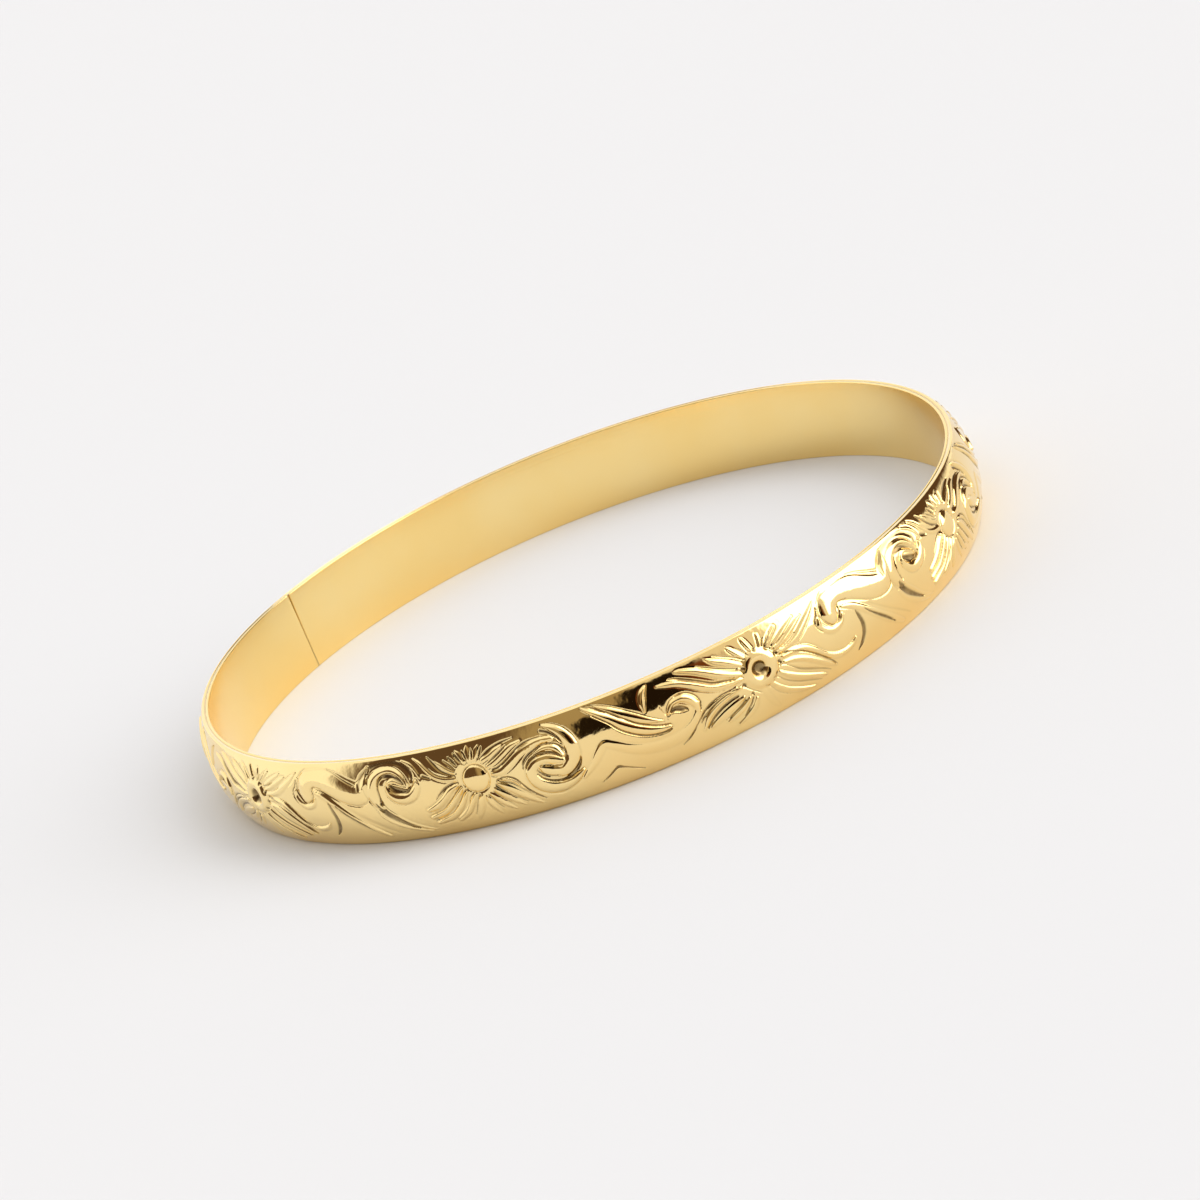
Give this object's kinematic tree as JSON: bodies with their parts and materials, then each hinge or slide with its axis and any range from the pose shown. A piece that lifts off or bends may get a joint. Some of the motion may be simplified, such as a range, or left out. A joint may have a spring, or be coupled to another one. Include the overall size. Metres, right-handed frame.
{
  "type": "bangle bracelet",
  "caption": "Closed round slip-on bangle: hollow band with an embossed domed outside, a plain liner and soldered rims, worn round the wrist.",
  "frame": {"origin": "centre of the ring in the plane of its lower rim, where it rests when it lies flat", "axes": "+Z along the ring's axis, up from the lower rim; the middle of the decorated stretch seen from the front faces -Y"},
  "size_m": [0.068, 0.068, 0.0072],
  "materials": {
    "polished_gold": "yellow gold plate on brass, polished to a mirror, embossed",
    "satin_gold": "yellow gold plate on brass, smooth satin",
    "solder_gold": "gold-plated solder, slightly dull"
  },
  "bodies": {
    "root": {"outer_shell": "polished_gold", "inner_liner": "satin_gold", "lower_solder_seam": "solder_gold", "upper_solder_seam": "solder_gold", "shell_closing_joint": "solder_gold", "liner_closing_joint": "solder_gold"}
  },
  "joints": []
}
